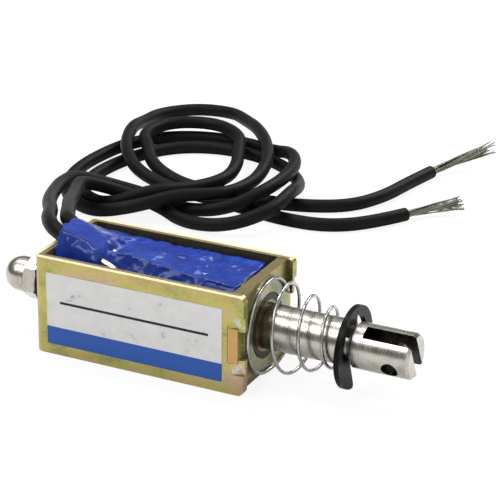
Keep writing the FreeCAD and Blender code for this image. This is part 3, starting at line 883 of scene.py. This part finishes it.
def dress(surfaces):
    """Gives every CAD node the material of its slot."""
    wanted = {
        "frame_bracket": "zinc_yellow", "end_plate": "zinc_yellow", "spring_seat_washer": "zinc_pale",
        "bobbin": "nylon_black", "guide_tube": "brass", "fixed_core": "core_steel",
        "coil_winding": "copper_wire", "coil_insulation": "clear_film", "coil_tape": "blue_tape",
        "lead_wrap_tape": "blue_tape", "label": "label_film", "solder_joint_a": "solder",
        "solder_joint_b": "solder", "lead_a": "lead_black", "lead_b": "lead_black",
        "lead_a_strands": "tinned_copper", "lead_b_strands": "tinned_copper", "plunger": "nickel_steel",
        "push_rod": "rod_steel", "cap_nut": "nickel_steel", "bumper_washer": "rubber_black",
        "return_spring": "spring_steel", "retaining_clip": "black_oxide",
    }
    for name, slot in wanted.items():
        node = nodes[name]
        node.data.materials.clear()
        node.data.materials.append(surfaces[slot].material)


def seen_by(tree, share, *kinds):
    """A share for the named kinds of ray, and zero for all others."""
    path = tree.nodes.new("ShaderNodeLightPath")
    total = path.outputs[kinds[0]]
    for name in kinds[1:]:
        most = tree.nodes.new("ShaderNodeMath")
        most.operation = "MAXIMUM"
        tree.links.new(total, most.inputs[0])
        tree.links.new(path.outputs[name], most.inputs[1])
        total = most.outputs["Value"]
    scaled = tree.nodes.new("ShaderNodeMath")
    scaled.operation = "MULTIPLY"
    scaled.inputs[1].default_value = share
    tree.links.new(total, scaled.inputs[0])
    return scaled.outputs["Value"]


def floor_paper():
    """Paper that glows white for the camera and only reflects for every other ray."""
    paper = bpy.data.materials.new("floor_paper")
    paper.use_nodes = True
    tree = paper.node_tree
    shader = tree.nodes["Principled BSDF"]
    shader.inputs["Base Color"].default_value = (floor_grey, floor_grey, floor_grey, 1.0)
    shader.inputs["Roughness"].default_value = floor_roughness
    glow = tree.nodes.new("ShaderNodeEmission")
    glow.inputs["Color"].default_value = (1, 1, 1, 1)
    share = seen_by(tree, floor_glow, "Is Camera Ray", "Is Transmission Ray")
    mix = tree.nodes.new("ShaderNodeMixShader")
    tree.links.new(share, mix.inputs["Fac"])
    tree.links.new(shader.outputs["BSDF"], mix.inputs[1])
    tree.links.new(glow.outputs["Emission"], mix.inputs[2])
    tree.links.new(mix.outputs["Shader"], tree.nodes["Material Output"].inputs["Surface"])
    return paper


def floor():
    corners = [
        (-floor_half, -floor_half, 0), (floor_half, -floor_half, 0),
        (floor_half, floor_half, 0), (-floor_half, floor_half, 0),
    ]
    obj = mesh_object("floor", corners, [(0, 1, 2, 3)], smooth=False)
    obj.data.materials.append(floor_paper())


def surroundings():
    """White for the camera, bands by height for what mirrors them, and one grey for soft light."""
    world = bpy.data.worlds.new("studio")
    world.use_nodes = True
    bpy.context.scene.world = world
    tree = world.node_tree
    mirrored = seen_by(tree, 1.0, "Is Glossy Ray")
    seen = seen_by(tree, 1.0, "Is Camera Ray", "Is Transmission Ray")
    place = tree.nodes.new("ShaderNodeTexCoord").outputs["Generated"]
    height = tree.nodes.new("ShaderNodeSeparateXYZ")
    tree.links.new(place, height.inputs["Vector"])
    sky = tree.nodes.new("ShaderNodeValToRGB")
    while len(sky.color_ramp.elements) < len(studio_bands):
        sky.color_ramp.elements.new(0.5)
    for element, (position, value) in zip(sky.color_ramp.elements, studio_bands):
        element.position = position
        element.color = (value, value, value, 1.0)
    tree.links.new(height.outputs["Z"], sky.inputs["Fac"])
    blends = []
    for share in (mirrored, seen):
        blend = tree.nodes.new("ShaderNodeMix")
        blend.data_type = "RGBA"
        tree.links.new(share, blend.inputs[mix_share])
        blends.append(blend)
    soft, final = blends
    soft.inputs[mix_first].default_value = (world_level, world_level, world_level, 1.0)
    tree.links.new(sky.outputs["Color"], soft.inputs[mix_second])
    tree.links.new(soft.outputs[mix_result], final.inputs[mix_first])
    final.inputs[mix_second].default_value = (1.0, 1.0, 1.0, 1.0)
    tree.links.new(final.outputs[mix_result], tree.nodes["Background"].inputs["Color"])


def lamp(name, place, size, power):
    """A rectangular lamp that points at the object, with its first side level."""
    data = bpy.data.lights.new(name, "AREA")
    data.energy = power
    data.shape = "RECTANGLE"
    data.size, data.size_y = size
    obj = link(bpy.data.objects.new(name, data))
    back = (Vector(place) - Vector((0, 0, lamp_aim))).normalized()
    side = (Vector((1, 0, 0)) - back * back.x).normalized()
    turn = Matrix((side, back.cross(side), back)).transposed()
    obj.matrix_world = Matrix.Translation(place) @ turn.to_4x4()


def studio():
    floor()
    surroundings()
    for name, place, size, power in lamps:
        lamp(name, place, size, power)
    bpy.context.scene.view_settings.view_transform = "Standard"


add_camera()
lead_a = lead_curve("lead_a_wire", lead_a_points)
lead_b = lead_curve("lead_b_wire", lead_b_points)
strands_a = strands("lead_a_bare_wires", lead_a, "lead_a_strands", strands_a_tip, strands_a_seed)
strands_b = strands("lead_b_bare_wires", lead_b, "lead_b_strands", strands_b_tip, strands_b_seed)
for lead, node, tip, leaves, length in (
    (lead_a, "lead_a", strands_a, lead_a_exit, lead_a_length),
    (lead_b, "lead_b", strands_b, lead_b_exit, lead_b_length),
):
    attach(lead, "housing")
    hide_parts(node)
wire_spring = spring()
blue_film = tape()

surfaces = {
    "zinc_yellow": zinc_yellow(),
    "zinc_pale": zinc_pale(),
    "nylon_black": plain("nylon_black", (0.008, 0.008, 0.009), 0.4, shine=0.2),
    "brass": bright_metal("brass", (0.24, 0.16, 0.075), 0.35),
    "core_steel": bright_metal("core_steel", (0.52, 0.50, 0.47), 0.35, turned=True),
    "copper_wire": winding(),
    "clear_film": plain("clear_film", (0.45, 0.38, 0.20), 0.3),
    "blue_tape": film(),
    "label_film": label_print(),
    "solder": bright_metal("solder", (0.62, 0.62, 0.62), 0.3),
    "lead_black": plain("lead_black", (0.0035, 0.0038, 0.0036), 0.5, grain=2200, shine=0.07),
    "tinned_copper": bright_metal("tinned_copper", (0.17, 0.165, 0.135), 0.28),
    "spring_steel": bright_metal("spring_steel", (0.30, 0.295, 0.285), 0.22),
    "black_oxide": plain("black_oxide", (0.003, 0.003, 0.0032), 0.34, shine=0.06),
    "nickel_steel": nickel(),
    "rod_steel": bright_metal("rod_steel", (0.56, 0.54, 0.51), 0.3, turned=True),
    "rubber_black": plain("rubber_black", (0.008, 0.008, 0.008), 0.6, shine=0.15),
}
dress(surfaces)
for piece, slot in (
    (lead_a, "lead_black"), (lead_b, "lead_black"), (strands_a, "tinned_copper"),
    (strands_b, "tinned_copper"), (wire_spring, "spring_steel"), (blue_film, "blue_tape"),
):
    piece.data.materials.append(surfaces[slot].material)
studio()

bpy.context.view_layer.update()
